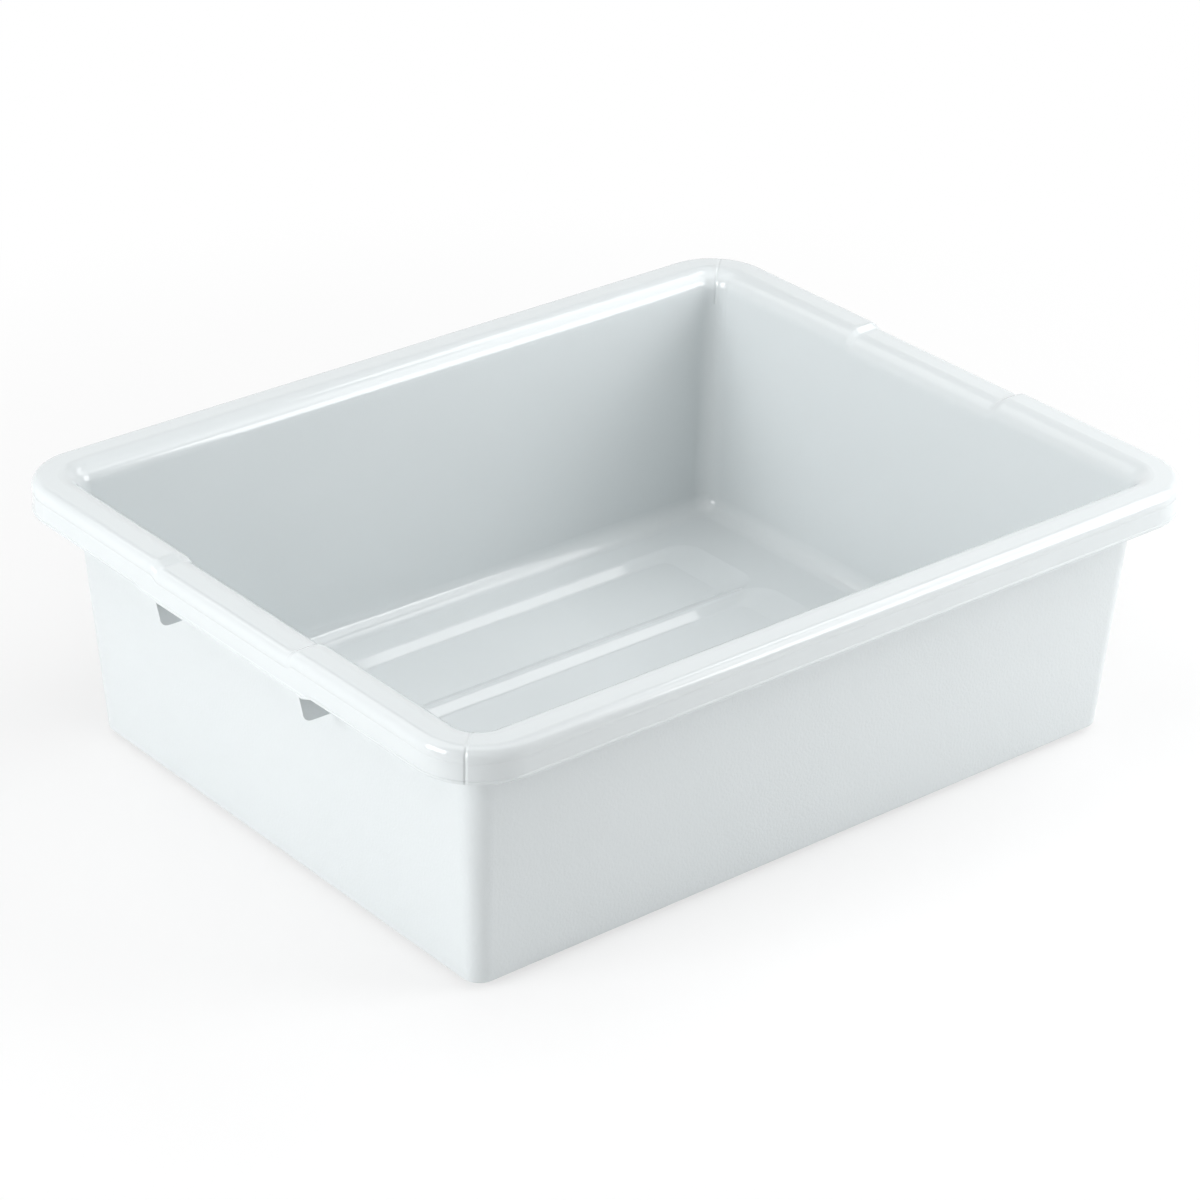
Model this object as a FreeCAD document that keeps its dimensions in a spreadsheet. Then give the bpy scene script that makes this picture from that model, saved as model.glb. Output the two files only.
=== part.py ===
import FreeCAD, Part
import math
import os

import Sketcher

# Bus tub: one moulding with drafted walls, a rolled hollow rim, two grips and a floor on four feet.
# Z is up, the origin is under the middle of the feet and X runs along the long sides.

SIZES = {
    "overall_length": 546.0,
    "overall_width": 434.0,
    "overall_height": 170.0,
    "wall_thickness": 3.0,
    "wall_draft": 3.9,
    "wall_joint_drop": 19.5,
    "foot_corner": 11.0,
    "cavity_floor_corner": 13.0,
    "floor_fillet": 12.0,
    "bottom_edge": 1.5,
    "rim_corner": 40.0,
    "rim_overhang": 26.0,
    "skirt_depth": 20.8,
    "shoulder_radius": 6.0,
    "roll_radius": 13.0,
    "crease_depth": 0.6,
    "crease_run": 1.4,
    "skirt_inset": 0.4,
    "bead_depth": 2.2,
    "bead_radius": 0.9,
    "grip_width": 120.0,
    "grip_drop": 2.8,
    "grip_ramp": 8.0,
    "lip_margin": 8.0,
    "lip_depth": 3.0,
    "lip_ramp": 8.0,
    "ramp_ease": 0.12,
    "rib_margin": 6.5,
    "rib_thickness": 3.0,
    "rib_depth": 43.0,
    "rib_taper": 5.0,
    "rib_corner": 6.0,
    "panel_count": 4.0,
    "panel_end_margin": 43.3,
    "panel_side_margin": 29.8,
    "panel_depth": 4.0,
    "panel_gap": 3.0,
    "panel_side_run": 8.0,
    "panel_end_run": 24.0,
    "panel_corner": 16.0,
    "panel_floor_corner": 8.0,
    "panel_edge": 5.0,
    "foot_edge": 2.0,
}

DERIVED = {
    "axis_x": "overall_length / 2 - rim_corner",
    "axis_y": "overall_width / 2 - rim_corner",
    "slope": "tan(wall_draft * 1 deg)",
    "cosine": "cos(wall_draft * 1 deg)",
    "sine": "sin(wall_draft * 1 deg)",
    "joint_height": "overall_height - wall_joint_drop",
    "skirt_foot": "overall_height - skirt_depth",
    "wall_at_skirt": "rim_corner - rim_overhang",
    "crease_drop": "shoulder_radius + sqrt(crease_depth * (2 * shoulder_radius - crease_depth))",
    "joint_outer": "wall_at_skirt + (joint_height - skirt_foot) * slope",
    "joint_inner": "joint_outer - wall_thickness / cosine",
    "body_drop": "(joint_height - panel_depth) * slope",
    "floor_top": "panel_depth + wall_thickness",
    "cavity_drop": "(joint_height - floor_top) * slope",
    "floor_length": "2 * (axis_x + joint_inner - cavity_drop)",
    "floor_width": "2 * (axis_y + joint_inner - cavity_drop)",
    "panel_length": "floor_length - 2 * panel_end_margin",
    "panel_field": "floor_width - 2 * panel_side_margin",
    "panel_width": "(panel_field + panel_gap) / panel_count - panel_gap",
    "panel_pitch": "panel_width + panel_gap",
    "panel_start": "panel_pitch * (panel_count - 1) / 2",
    "grip_half": "grip_width / 2",
    "ramp_half": "grip_half + grip_ramp",
    "lip_half": "ramp_half + lip_margin",
}


class Tub:
    """The document, its sheet of sizes and the one body, with short helpers."""

    def __init__(self):
        self.doc = FreeCAD.newDocument("BusTub")
        self.sheet = self.doc.addObject("Spreadsheet::Sheet", "Sizes")
        row = 1
        for name, value in SIZES.items():
            self.write_cell(row, name, "%g" % value)
            row += 1
        self.doc.recompute()
        for name, formula in DERIVED.items():
            self.write_cell(row, name, "=" + formula)
            row += 1
        self.doc.recompute()
        self.body = self.doc.addObject("PartDesign::Body", "Tub")
        self.body.Label = "tub"
        self.doc.recompute()

    def write_cell(self, row, name, content):
        self.sheet.set("A%d" % row, name)
        self.sheet.set("B%d" % row, content)
        self.sheet.setAlias("B%d" % row, name)

    def value(self, formula):
        result = self.sheet.evalExpression(formula)
        return float(getattr(result, "Value", result))

    def bound(self, formula):
        """The same formula as seen from outside the sheet."""
        for name in sorted(list(SIZES) + list(DERIVED), key=len, reverse=True):
            formula = replace_word(formula, name, "Sizes." + name)
        return formula

    def origin_part(self, role):
        for feature in self.body.Origin.OriginFeatures:
            if feature.Role == role:
                return feature
        raise ValueError("no origin part " + role)

    def sketch(self, name, role, shift=("0", "0", "0")):
        """An empty sketch on an origin plane, shifted along its own x, y and normal."""
        sketch = self.body.newObject("Sketcher::SketchObject", name)
        sketch.AttachmentSupport = [(self.origin_part(role), "")]
        sketch.MapMode = "FlatFace"
        for axis, formula in zip("xyz", shift):
            if formula != "0":
                sketch.setExpression("AttachmentOffset.Base." + axis, self.bound(formula))
        self.doc.recompute()
        return sketch

    def outline(self, sketch, corners):
        """A closed outline. Each corner is (x, y) or (x, y, radius), where the radius belongs to the
        arc that runs on to the next corner; a minus sign in front of it makes a hollow arc."""
        points = []
        for corner in corners:
            points.append(FreeCAD.Vector(self.value(corner[0]), self.value(corner[1]), 0))
        count = len(corners)
        for index, corner in enumerate(corners):
            start = points[index]
            end = points[(index + 1) % count]
            if len(corner) == 2:
                sketch.addGeometry(Part.LineSegment(start, end), False)
            else:
                radius = self.value(corner[2])
                middle = arc_middle(start, end, radius)
                ends = (start, end) if radius > 0 else (end, start)
                sketch.addGeometry(Part.Arc(ends[0], middle, ends[1]), False)
        for index, corner in enumerate(corners):
            self.pin_corner(sketch, index, count, corner, points[index])
        self.doc.recompute()
        return sketch

    def pin_corner(self, sketch, index, count, corner, point):
        edge = sketch.Geometry[index]
        start_role = role_of(edge, point)
        before = (index - 1) % count
        end_role = role_of(sketch.Geometry[before], point)
        sketch.addConstraint(Sketcher.Constraint("Coincident", before, end_role, index, start_role))
        for kind, place, formula in (("DistanceX", point.x, corner[0]), ("DistanceY", point.y, corner[1])):
            number = sketch.addConstraint(Sketcher.Constraint(kind, index, start_role, place))
            sketch.setExpression("Constraints[%d]" % number, self.bound(formula))
        if len(corner) == 3:
            radius = corner[2].lstrip("-")
            number = sketch.addConstraint(Sketcher.Constraint("Radius", index, self.value(radius)))
            sketch.setExpression("Constraints[%d]" % number, self.bound(radius))

    def rounded_rectangle(self, name, length, width, radius, height, centre_y="0"):
        """A level rounded rectangle about the Z axis, or about a line beside it."""
        sketch = self.sketch(name, "XY_Plane", ("0", centre_y, height))
        half_x = "(%s) / 2" % length
        half_y = "(%s) / 2" % width
        turn = "(%s)" % radius
        in_x = "%s - %s" % (half_x, turn)
        in_y = "%s - %s" % (half_y, turn)
        return self.outline(sketch, [
            ("-(%s)" % in_x, "-(%s)" % half_y),
            (in_x, "-(%s)" % half_y, turn),
            (half_x, "-(%s)" % in_y),
            (half_x, in_y, turn),
            (in_x, half_y),
            ("-(%s)" % in_x, half_y, turn),
            ("-(%s)" % half_x, in_y),
            ("-(%s)" % half_x, "-(%s)" % in_y, turn),
        ])

    def feature(self, kind, name, profile=None, **settings):
        """A feature of the body; text settings are formulas and are bound to the sheet."""
        feature = self.body.newObject("PartDesign::" + kind, name)
        if profile is not None:
            feature.Profile = profile
            profile.Visibility = False
        for key, setting in settings.items():
            if isinstance(setting, str):
                feature.setExpression(key, self.bound(setting))
            else:
                setattr(feature, key, setting)
        self.doc.recompute()
        return feature


def replace_word(text, word, new):
    parts = []
    place = 0
    while True:
        found = text.find(word, place)
        if found < 0:
            break
        before = text[found - 1] if found else " "
        after = text[found + len(word)] if found + len(word) < len(text) else " "
        whole = not (before.isalnum() or before in "_.") and not (after.isalnum() or after == "_")
        parts.append(text[place:found] + (new if whole else word))
        place = found + len(word)
    parts.append(text[place:])
    return "".join(parts)


def role_of(edge, point):
    """1 for the start of an edge, 2 for its end."""
    return 1 if edge.StartPoint.distanceToPoint(point) < edge.EndPoint.distanceToPoint(point) else 2


def arc_middle(start, end, radius):
    """The middle point of the short arc from start to end, bulging right of that line if positive."""
    chord = end - start
    half = chord.Length / 2
    size = abs(radius)
    rise = size - math.sqrt(max(size * size - half * half, 0.0))
    side = FreeCAD.Vector(chord.y, -chord.x, 0).normalize()
    if radius < 0:
        side = side * -1
    return (start + end) * 0.5 + side * rise


def edges_at(shape, accept):
    """Names of the edges whose middle point and bounds are accepted."""
    return ["Edge%d" % (number + 1) for number, edge in enumerate(shape.Edges) if accept(edge)]


def level(edge, height):
    box = edge.BoundBox
    return abs(box.ZMin - height) < 0.01 and abs(box.ZMax - height) < 0.01


def make_walls(tub):
    """The drafted outer block, from the outer bottom edge up to the foot of the rim."""
    top_length = "2 * (axis_x + joint_outer)"
    top_width = "2 * (axis_y + joint_outer)"
    lower = tub.rounded_rectangle("wall_foot", top_length + " - 2 * body_drop",
                                  top_width + " - 2 * body_drop", "foot_corner", "panel_depth")
    upper = tub.rounded_rectangle("wall_top", top_length, top_width, "joint_outer", "joint_height")
    return tub.feature("AdditiveLoft", "outer_wall", lower, Sections=[upper], Ruled=True)


def make_feet(tub):
    """Under each floor panel a shallow tapered foot, of the panel's own form."""
    upper = tub.rounded_rectangle("foot_root", "panel_length", "panel_width", "panel_corner",
                                  "panel_depth", "-panel_start")
    lower = tub.rounded_rectangle("foot_sole", "panel_length - 2 * panel_end_run",
                                  "panel_width - 2 * panel_side_run", "panel_floor_corner",
                                  "0", "-panel_start")
    return tub.feature("AdditiveLoft", "foot", upper, Sections=[lower], Ruled=True)


def make_cavity(tub):
    """The hollow for the dishes, with a rounded foot."""
    top_length = "2 * (axis_x + joint_inner)"
    top_width = "2 * (axis_y + joint_inner)"
    upper = tub.rounded_rectangle("cavity_top", top_length, top_width, "joint_inner", "joint_height")
    lower = tub.rounded_rectangle("cavity_floor", top_length + " - 2 * cavity_drop",
                                  top_width + " - 2 * cavity_drop", "cavity_floor_corner", "floor_top")
    cavity = tub.feature("SubtractiveLoft", "cavity", upper, Sections=[lower], Ruled=True)
    floor_top = tub.value("floor_top")
    names = edges_at(cavity.Shape, lambda edge: level(edge, floor_top))
    return tub.feature("Fillet", "cavity_fillet", Base=(cavity, names), Radius="floor_fillet")


def make_panels(tub):
    """The recessed floor panel above each foot."""
    upper = tub.rounded_rectangle("panel_mouth", "panel_length", "panel_width", "panel_corner",
                                  "floor_top", "-panel_start")
    lower = tub.rounded_rectangle("panel_bed", "panel_length - 2 * panel_end_run",
                                  "panel_width - 2 * panel_side_run", "panel_floor_corner",
                                  "wall_thickness", "-panel_start")
    return tub.feature("SubtractiveLoft", "panel", upper, Sections=[lower], Ruled=True)


def round_panels(tub):
    """Soft edges round each panel's mouth and bed."""
    panels = tub.body.Tip
    heights = (tub.value("floor_top"), tub.value("wall_thickness"))
    reach = tub.value("panel_length / 2 + 1")
    names = edges_at(panels.Shape, lambda edge: abs(edge.BoundBox.Center.x) < reach
                     and edge.BoundBox.XMax < reach and edge.BoundBox.XMin > -reach
                     and (level(edge, heights[0]) or level(edge, heights[1])))
    return tub.feature("Fillet", "panel_edges", Base=(panels, names), Radius="panel_edge")


def round_underside(tub):
    """A small radius on the outer bottom edge and on the sole of each foot."""
    before = tub.body.Tip
    rim = tub.value("panel_depth")
    reach = tub.value("panel_length / 2 + 1")
    outer = edges_at(before.Shape, lambda edge: level(edge, rim)
                     and max(edge.BoundBox.XMax, -edge.BoundBox.XMin) > reach)
    edge = tub.feature("Fillet", "bottom_edges", Base=(before, outer), Radius="bottom_edge")
    soles = edges_at(edge.Shape, lambda edge: level(edge, 0.0))
    return tub.feature("Fillet", "sole_edges", Base=(edge, soles), Radius="foot_edge")


def pattern_across(tub, name, original):
    pattern = tub.body.newObject("PartDesign::LinearPattern", name)
    pattern.Originals = [original]
    pattern.Direction = (tub.origin_part("Y_Axis"), [""])
    pattern.setExpression("Length", tub.bound("panel_pitch * (panel_count - 1)"))
    pattern.setExpression("Occurrences", tub.bound("panel_count"))
    tub.body.Tip = pattern
    tub.doc.recompute()
    return pattern


def rim_section(tub, name, role, shift, drop="0", lip="0"):
    """The rim's section, drawn outwards from the axis of the corner: wall, roll, flat top, shoulder,
    crease, skirt and bead, and back along the hollow under the rim."""
    top = "(overall_height - %s)" % drop
    centre_z = "(%s - roll_radius)" % top
    centre_r = ("(joint_inner + (%s - joint_height) * slope + roll_radius / cosine)" % centre_z)
    foot = "(skirt_foot - %s)" % lip
    crease = "(%s - crease_drop)" % top
    face = "(rim_corner - skirt_inset)"
    inside = "(rim_corner - wall_thickness)"
    thin = "(roll_radius - wall_thickness)"
    sketch = tub.sketch(name, role, shift)
    return tub.outline(sketch, [
        ("joint_outer", "joint_height"),
        ("%s - %s * cosine" % (centre_r, thin), "%s + %s * sine" % (centre_z, thin), "-%s" % thin),
        (centre_r, "%s - wall_thickness" % top),
        ("rim_corner - shoulder_radius", "%s - wall_thickness" % top,
         "-(shoulder_radius - wall_thickness)"),
        (inside, "%s - shoulder_radius" % top),
        (inside, foot),
        ("rim_corner - bead_radius", foot, "bead_radius"),
        ("rim_corner", "%s + bead_radius" % foot),
        ("rim_corner", "%s + bead_depth - skirt_inset" % foot),
        (face, "%s + bead_depth" % foot),
        (face, "%s - crease_run" % crease),
        ("rim_corner - crease_depth", crease, "shoulder_radius"),
        ("rim_corner - shoulder_radius", top),
        (centre_r, top, "roll_radius"),
        ("%s - roll_radius * cosine" % centre_r, "%s + roll_radius * sine" % centre_z),
        ("joint_inner", "joint_height"),
    ])


def make_rim(tub):
    """One quarter of the rim: half a long side, the corner, and half an end with its grip."""
    long_section = rim_section(tub, "section_long", "YZ_Plane", ("axis_y", "0", "axis_x"))
    features = [tub.feature("Pad", "rim_long", long_section, Length="axis_x", Reversed=True)]
    corner = tub.feature("Revolution", "rim_corner", long_section,
                         ReferenceAxis=(long_section, ["V_Axis"]), Angle=90.0, Reversed=True)
    features.append(corner)
    stations = [
        ("axis_y", "0", "0"),
        ("lip_half + lip_ramp", "0", "0"),
        ("lip_half", "0", "lip_depth"),
        ("ramp_half", "0", "lip_depth"),
        ("ramp_half - grip_ramp / 4", "grip_drop * ramp_ease", "lip_depth"),
        ("grip_half + grip_ramp / 4", "grip_drop * (1 - ramp_ease)", "lip_depth"),
        ("grip_half", "grip_drop", "lip_depth"),
        ("0", "grip_drop", "lip_depth"),
    ]
    for number in range(len(stations) - 1):
        here, drop, lip = stations[number]
        after, next_drop, next_lip = stations[number + 1]
        section = rim_section(tub, "section_end_%d" % number, "XZ_Plane",
                              ("axis_x", "0", "-(%s)" % here), drop, lip)
        name = "rim_end_%d" % number
        if (drop, lip) == (next_drop, next_lip):
            run = "%s - (%s)" % (here, after)
            features.append(tub.feature("Pad", name, section, Length=run))
        else:
            beyond = rim_section(tub, "section_ramp_%d" % number, "XZ_Plane",
                                 ("axis_x", "0", "-(%s)" % after), next_drop, next_lip)
            features.append(tub.feature("AdditiveLoft", name, section, Sections=[beyond], Ruled=True))
    return features


def make_rib(tub):
    """A gusset at the end of the grip, from the end wall out to the skirt and down below it."""
    middle = "wall_thickness / 2"
    centre_z = "(overall_height - roll_radius)"
    centre_r = "(joint_inner + (%s - joint_height) * slope + roll_radius / cosine)" % centre_z
    bend = "(roll_radius - %s)" % middle
    foot = "(overall_height - rib_depth)"
    sketch = tub.sketch("rib_outline", "XZ_Plane",
                        ("axis_x", "0", "-(grip_half + rib_margin)"))
    tub.outline(sketch, [
        ("joint_outer - (joint_height - %s) * slope - %s" % (foot, middle), foot),
        ("rim_corner - skirt_inset - rib_taper - rib_corner", foot, "rib_corner"),
        ("rim_corner - skirt_inset - rib_taper", "%s + rib_corner" % foot),
        ("rim_corner - skirt_inset - %s" % middle, "skirt_foot"),
        ("rim_corner - %s" % middle, "overall_height - shoulder_radius", "shoulder_radius - %s" % middle),
        ("rim_corner - shoulder_radius", "overall_height - %s" % middle),
        (centre_r, "overall_height - %s" % middle, bend),
        ("%s - %s * cosine" % (centre_r, bend), "%s + %s * sine" % (centre_z, bend)),
    ])
    return tub.feature("Pad", "rib", sketch, Length="rib_thickness", Reversed=True)


def mirror_quarter(tub, originals):
    """The quarter repeated across both middle planes."""
    multi = tub.body.newObject("PartDesign::MultiTransform", "quarters")
    multi.Originals = originals
    mirrors = []
    for name, role in (("across_length", "YZ_Plane"), ("across_width", "XZ_Plane")):
        mirror = tub.doc.addObject("PartDesign::Mirrored", name)
        mirror.MirrorPlane = (tub.origin_part(role), [""])
        tub.body.addObject(mirror)
        mirrors.append(mirror)
    multi.Transformations = mirrors
    tub.body.Tip = multi
    tub.doc.recompute()
    return multi


def check_document(doc):
    for item in doc.Objects:
        for state in item.State:
            if state in ("Invalid", "Error"):
                raise RuntimeError("%s is %s" % (item.Name, state))


def main():
    tub = Tub()
    make_walls(tub)
    make_feet(tub)
    pattern_across(tub, "feet", tub.doc.getObject("foot"))
    make_cavity(tub)
    make_panels(tub)
    pattern_across(tub, "panels", tub.doc.getObject("panel"))
    round_panels(tub)
    round_underside(tub)
    quarter = make_rim(tub)
    quarter.append(make_rib(tub))
    mirror_quarter(tub, quarter)
    tub.doc.recompute()
    check_document(tub.doc)
    shape = tub.body.Shape
    if shape.isNull() or not shape.isValid():
        raise RuntimeError("the tub's shape is not valid")
    os.makedirs("parts", exist_ok=True)
    shape.exportStep("parts/%s.step" % tub.body.Label)
    box = shape.optimalBoundingBox(False, False)
    print("solids", len(shape.Solids), "volume", round(shape.Volume), "box",
          [round(v, 3) for v in (box.XMin, box.YMin, box.ZMin, box.XMax, box.YMax, box.ZMax)])


main()
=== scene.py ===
import math

import bpy
from mathutils import Matrix, Vector

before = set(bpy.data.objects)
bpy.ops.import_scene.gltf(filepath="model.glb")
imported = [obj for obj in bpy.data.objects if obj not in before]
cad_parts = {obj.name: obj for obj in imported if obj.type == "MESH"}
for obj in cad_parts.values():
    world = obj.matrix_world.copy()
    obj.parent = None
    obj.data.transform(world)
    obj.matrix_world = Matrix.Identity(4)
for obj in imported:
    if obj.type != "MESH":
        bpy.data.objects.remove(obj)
scene = bpy.context.scene
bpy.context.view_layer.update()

# Camera of the photograph: its direction, its place in metres, its sensor and lens in millimetres
AZIMUTH = math.radians(-39.83)
ELEVATION = math.radians(27.74)
ROLL = math.radians(1.10)
CAMERA_PLACE = Vector((-1.3514, -1.6144, 1.1939))
SENSOR_WIDTH = 36.0
LENS = 121.45
NEAREST_SEEN = 0.05
FARTHEST_SEEN = 30.0

# Lamps at the sides face the tub's middle: place in metres, size in metres, power in watts
TUB_MIDDLE = (0.0, 0.0, 0.10)
SIDE_LAMPS = {
    "left": ((-2.20, 0.20, 0.80), (1.20, 1.20), 36.0),
    "right_low": ((1.25, -1.25, 0.60), (1.00, 0.80), 16.0),
    "camera_side": ((-1.50, -1.90, 1.90), (1.20, 1.00), 5.5),
}
# Lamps overhead face straight down, turned about the vertical: place, size, power
OVERHEAD_HEIGHT = 1.30
OVERHEAD_TURN = math.radians(-34.3)
OVERHEAD_LAMPS = {
    "over_left": ((-0.62, 0.64), (1.19, 1.60), 9.5),
    "over_near": ((0.132, -0.357), (1.19, 0.80), 4.0),
    "over_right": ((1.362, -0.711), (1.24, 1.60), 20.0),
    "over_key": ((0.95, 0.03), (0.60, 0.45), 3.2),
}

# World: a plain soft light, and what is seen in it. Both heights are the sine of an angle above level
WORLD_STRENGTH = 0.10
WHITE = (1.0, 1.0, 1.0, 1.0)
BACKDROP_TOP = 0.50
CEILING_FOOT = 0.58
CEILING_SHADE = 0.2

# Plastic: colours, roughness and sizes in metres
PLASTIC_COLOUR = (0.68, 0.715, 0.725, 1.0)
PLASTIC_SHADE = (0.655, 0.693, 0.703, 1.0)
GLOSS_ROUGHNESS = 0.07
PEBBLE_ROUGHNESS = 0.42
PLASTIC_IOR = 1.5
CLOUD_SIZE = 0.09
SCUFF_SIZE = 0.02
SCUFF_STRETCH = (0.25, 2.2, 1.0)
SCUFF_SPREAD = 0.08
SKIRT_FOOT = 0.1495
OUTWARD_LEAST = 0.01
PEBBLE_SIZE = 0.0016
PEBBLE_HEIGHT = 0.00022
WAVE_SIZE = 0.045
WAVE_HEIGHT = 0.00003

# Seam across the rim at two opposite corners: the corner's axis, and the seam's angle about it
SEAM_FOOT = SKIRT_FOOT - 0.001
SEAM_SOFTNESS = 0.3
CORNER_X = 0.233
CORNER_Y = 0.177
SEAM_ANGLE = math.radians(43.0)
SEAM_WIDTH = 0.0012
SEAM_DEPTH = 0.00045

# Floor: its share of white at the tub, and the distances between which it grows to all white
FLOOR_HALF = 8.0
FLOOR_COLOUR = (0.86, 0.86, 0.86, 1.0)
FLOOR_GLOW = 0.62
FLOOR_FADE_FROM = 0.36
FLOOR_FADE_TO = 0.85


def add_camera():
    back = Vector((
        math.sin(AZIMUTH) * math.cos(ELEVATION),
        -math.cos(AZIMUTH) * math.cos(ELEVATION),
        math.sin(ELEVATION),
    ))
    level = Vector((math.cos(AZIMUTH), math.sin(AZIMUTH), 0.0))
    raised = back.cross(level)
    right = level * math.cos(ROLL) + raised * math.sin(ROLL)
    up = raised * math.cos(ROLL) - level * math.sin(ROLL)
    data = bpy.data.cameras.new("camera")
    data.sensor_width = SENSOR_WIDTH
    data.lens = LENS
    data.clip_start = NEAREST_SEEN
    data.clip_end = FARTHEST_SEEN
    camera = bpy.data.objects.new("camera", data)
    turn = Matrix((right, up, back)).transposed().to_4x4()
    camera.matrix_world = Matrix.Translation(CAMERA_PLACE) @ turn
    scene.collection.objects.link(camera)
    scene.camera = camera


def add_lamp(name, place, turn, size, power):
    data = bpy.data.lights.new(name, "AREA")
    data.shape = "RECTANGLE"
    data.size, data.size_y = size
    data.energy = power
    lamp = bpy.data.objects.new(name, data)
    lamp.location = place
    lamp.rotation_mode = "QUATERNION"
    lamp.rotation_quaternion = turn
    scene.collection.objects.link(lamp)


def add_lamps():
    for name, (place, size, power) in SIDE_LAMPS.items():
        away = Vector(TUB_MIDDLE) - Vector(place)
        add_lamp(name, place, away.to_track_quat("-Z", "Y"), size, power)
    turn = Matrix.Rotation(OVERHEAD_TURN, 3, "Z").to_quaternion()
    for name, (place, size, power) in OVERHEAD_LAMPS.items():
        add_lamp(name, (*place, OVERHEAD_HEIGHT), turn, size, power)


class Nodes:
    """A node tree with short calls that make and join nodes."""

    def __init__(self, tree):
        self.tree = tree
        tree.nodes.clear()

    def add(self, kind, **inputs):
        node = self.tree.nodes.new(kind)
        for name, value in inputs.items():
            self.put(value, node.inputs[name.replace("_", " ")])
        return node

    def put(self, value, socket):
        if isinstance(value, bpy.types.NodeSocket):
            self.tree.links.new(value, socket)
        else:
            socket.default_value = value

    def math(self, operation, *values):
        node = self.tree.nodes.new("ShaderNodeMath")
        node.operation = operation
        for socket, value in zip(node.inputs, values):
            self.put(value, socket)
        return node.outputs[0]

    def vector(self, operation, *values):
        node = self.tree.nodes.new("ShaderNodeVectorMath")
        node.operation = operation
        for socket, value in zip(node.inputs, values):
            self.put(value, socket)
        return node.outputs["Value"] if operation == "DOT_PRODUCT" else node.outputs["Vector"]

    def blend(self, factor, low, high):
        node = self.tree.nodes.new("ShaderNodeMix")
        node.data_type = "FLOAT"
        self.put(factor, node.inputs[0])
        self.put(low, node.inputs[2])
        self.put(high, node.inputs[3])
        return node.outputs[0]

    def blend_colour(self, factor, low, high):
        node = self.tree.nodes.new("ShaderNodeMix")
        node.data_type = "RGBA"
        self.put(factor, node.inputs[0])
        self.put(low, node.inputs[6])
        self.put(high, node.inputs[7])
        return node.outputs[2]

    def smooth(self, value, low, high, at_low, at_high):
        node = self.tree.nodes.new("ShaderNodeMapRange")
        node.interpolation_type = "SMOOTHSTEP"
        for socket, entry in zip(node.inputs, (value, low, high, at_low, at_high)):
            self.put(entry, socket)
        return node.outputs[0]

    def noise(self, place, size, detail, stretch=(1.0, 1.0, 1.0)):
        scaled = self.vector("MULTIPLY", place, stretch)
        node = self.add("ShaderNodeTexNoise", Scale=1.0 / size, Detail=detail, Roughness=0.55)
        self.put(scaled, node.inputs["Vector"])
        return node.outputs["Fac"]

    def bump(self, height, distance, strength, before=None):
        node = self.add("ShaderNodeBump", Strength=strength, Distance=distance, Height=height)
        if before is not None:
            self.put(before, node.inputs["Normal"])
        return node.outputs["Normal"]


def seen_share(nodes):
    """1 for rays from the camera, and for those that gloss or glass sends on."""
    path = nodes.add("ShaderNodeLightPath").outputs
    direct = nodes.math("MAXIMUM", path["Is Camera Ray"], path["Is Glossy Ray"])
    return nodes.math("MAXIMUM", direct, path["Is Transmission Ray"])


def make_world():
    """Soft even light; the camera, gloss and glass see a white backdrop under a dark ceiling."""
    world = bpy.data.worlds.new("world")
    world.use_nodes = True
    nodes = Nodes(world.node_tree)
    light = nodes.add("ShaderNodeBackground", Color=WHITE, Strength=WORLD_STRENGTH)
    direction = nodes.add("ShaderNodeTexCoord").outputs["Generated"]
    split = nodes.add("ShaderNodeSeparateXYZ", Vector=direction)
    fade = nodes.smooth(split.outputs["Z"], BACKDROP_TOP, CEILING_FOOT, 1.0, CEILING_SHADE)
    seen = nodes.add("ShaderNodeBackground", Color=WHITE, Strength=fade)
    mix = nodes.add("ShaderNodeMixShader", Fac=seen_share(nodes))
    nodes.put(light.outputs["Background"], mix.inputs[1])
    nodes.put(seen.outputs["Background"], mix.inputs[2])
    nodes.add("ShaderNodeOutputWorld", Surface=mix.outputs["Shader"])
    scene.world = world


def make_floor():
    """A pale floor that keeps the tub's soft shadow; the camera, gloss and glass see it whiter."""
    mesh = bpy.data.meshes.new("floor")
    signs = ((-1, -1), (1, -1), (1, 1), (-1, 1))
    corners = [(x * FLOOR_HALF, y * FLOOR_HALF, 0.0) for x, y in signs]
    mesh.from_pydata(corners, [], [(0, 1, 2, 3)])
    floor = bpy.data.objects.new("floor", mesh)
    scene.collection.objects.link(floor)
    material = bpy.data.materials.new("floor_pale")
    material.use_nodes = True
    nodes = Nodes(material.node_tree)
    matt = nodes.add("ShaderNodeBsdfDiffuse", Color=FLOOR_COLOUR)
    glow = nodes.add("ShaderNodeEmission", Color=WHITE, Strength=1.0)
    place = nodes.add("ShaderNodeTexCoord").outputs["Object"]
    split = nodes.add("ShaderNodeSeparateXYZ", Vector=place)
    squares = [nodes.math("MULTIPLY", split.outputs[axis], split.outputs[axis]) for axis in "XY"]
    distance = nodes.math("SQRT", nodes.math("ADD", *squares))
    glow_here = nodes.smooth(distance, FLOOR_FADE_FROM, FLOOR_FADE_TO, FLOOR_GLOW, 1.0)
    share = nodes.math("MULTIPLY", seen_share(nodes), glow_here)
    mix = nodes.add("ShaderNodeMixShader", Fac=share)
    nodes.put(matt.outputs["BSDF"], mix.inputs[1])
    nodes.put(glow.outputs["Emission"], mix.inputs[2])
    nodes.add("ShaderNodeOutputMaterial", Surface=mix.outputs["Shader"])
    mesh.materials.append(material)


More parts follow.
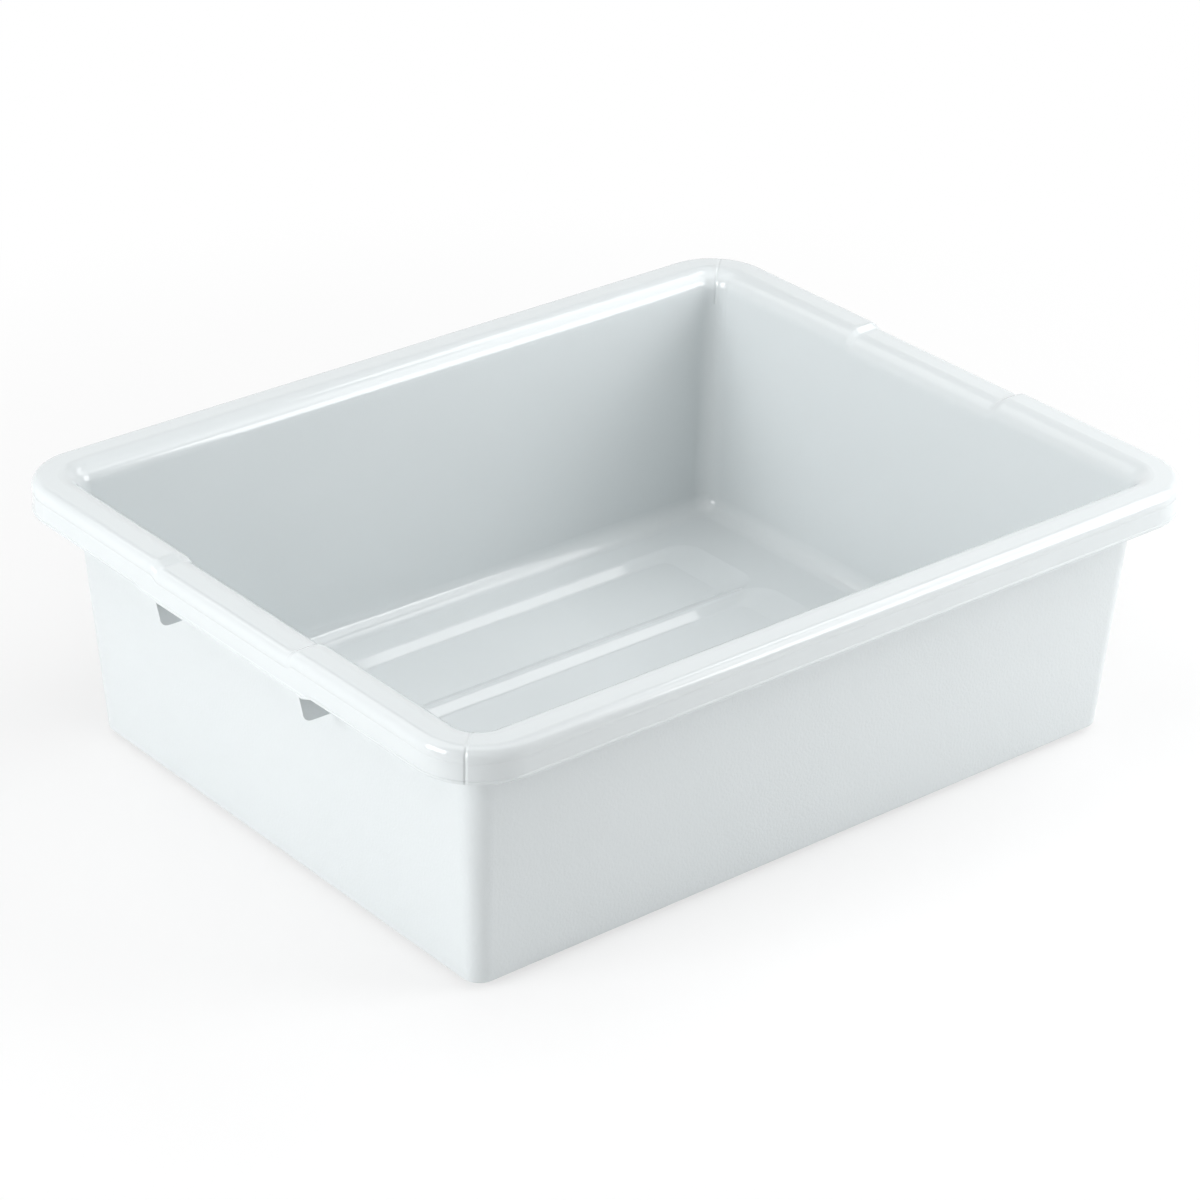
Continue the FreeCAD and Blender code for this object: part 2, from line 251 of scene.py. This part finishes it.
def outside_share(nodes, place, normal):
    """1 on the outside of the walls below the skirt, 0 inside and on the rim."""
    outward = nodes.vector("DOT_PRODUCT", nodes.vector("MULTIPLY", normal, (1.0, 1.0, 0.0)), place)
    outer = nodes.math("GREATER_THAN", outward, OUTWARD_LEAST)
    split = nodes.add("ShaderNodeSeparateXYZ", Vector=place)
    low = nodes.math("LESS_THAN", split.outputs["Z"], SKIRT_FOOT)
    return nodes.math("MULTIPLY", outer, low)


def seam_height(nodes, place):
    """A fine groove across the rim, at one corner and at the corner opposite."""
    split = nodes.add("ShaderNodeSeparateXYZ", Vector=place)
    side = nodes.math("SIGN", split.outputs["X"])
    along_x = nodes.math("SUBTRACT", nodes.math("MULTIPLY", split.outputs["X"], side), CORNER_X)
    along_y = nodes.math("SUBTRACT", nodes.math("MULTIPLY", split.outputs["Y"], side), CORNER_Y)
    turned_y = nodes.math("MULTIPLY", along_y, math.cos(SEAM_ANGLE))
    turned_x = nodes.math("MULTIPLY", along_x, math.sin(SEAM_ANGLE))
    across = nodes.math("ABSOLUTE", nodes.math("SUBTRACT", turned_y, turned_x))
    near = nodes.math("SUBTRACT", 1.0, nodes.math("DIVIDE", across, SEAM_WIDTH))
    groove = nodes.math("SMOOTH_MAX", near, 0.0, SEAM_SOFTNESS)
    past_x = nodes.math("GREATER_THAN", along_x, 0.0)
    past_y = nodes.math("GREATER_THAN", along_y, 0.0)
    groove_here = nodes.math("MULTIPLY", groove, nodes.math("MULTIPLY", past_x, past_y))
    high = nodes.math("GREATER_THAN", split.outputs["Z"], SEAM_FOOT)
    return nodes.math("MULTIPLY", groove_here, nodes.math("MULTIPLY", high, -1.0))


def make_plastic():
    """Glossy inside and on the rim, with faint waves and scuffs; fine pebble texture outside."""
    material = bpy.data.materials.new("tub_plastic_look")
    material.use_nodes = True
    nodes = Nodes(material.node_tree)
    place = nodes.add("ShaderNodeTexCoord").outputs["Object"]
    normal = nodes.add("ShaderNodeNewGeometry").outputs["Normal"]
    outside = outside_share(nodes, place, normal)

    clouds = nodes.noise(place, CLOUD_SIZE, detail=3.0)
    scuffs = nodes.noise(place, SCUFF_SIZE, detail=4.0, stretch=SCUFF_STRETCH)
    colour = nodes.blend_colour(clouds, PLASTIC_SHADE, PLASTIC_COLOUR)

    scuffed = nodes.math("MULTIPLY", nodes.math("SUBTRACT", scuffs, 0.5), SCUFF_SPREAD)
    gloss = nodes.math("ADD", scuffed, GLOSS_ROUGHNESS)
    roughness = nodes.blend(outside, gloss, PEBBLE_ROUGHNESS)

    waves = nodes.bump(nodes.noise(place, WAVE_SIZE, detail=1.0), WAVE_HEIGHT, 1.0)
    seam = nodes.bump(seam_height(nodes, place), SEAM_DEPTH, 1.0, waves)
    pebbles = nodes.bump(nodes.noise(place, PEBBLE_SIZE, detail=2.0), PEBBLE_HEIGHT, outside, seam)

    shader = nodes.add("ShaderNodeBsdfPrincipled", IOR=PLASTIC_IOR)
    nodes.put(colour, shader.inputs["Base Color"])
    nodes.put(roughness, shader.inputs["Roughness"])
    nodes.put(pebbles, shader.inputs["Normal"])
    nodes.add("ShaderNodeOutputMaterial", Surface=shader.outputs["BSDF"])
    return material


add_camera()
add_lamps()
make_world()
make_floor()
plastic = make_plastic()
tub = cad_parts["tub"]
for index in range(len(tub.data.materials)):
    tub.data.materials[index] = plastic

scene.view_settings.view_transform = "Standard"
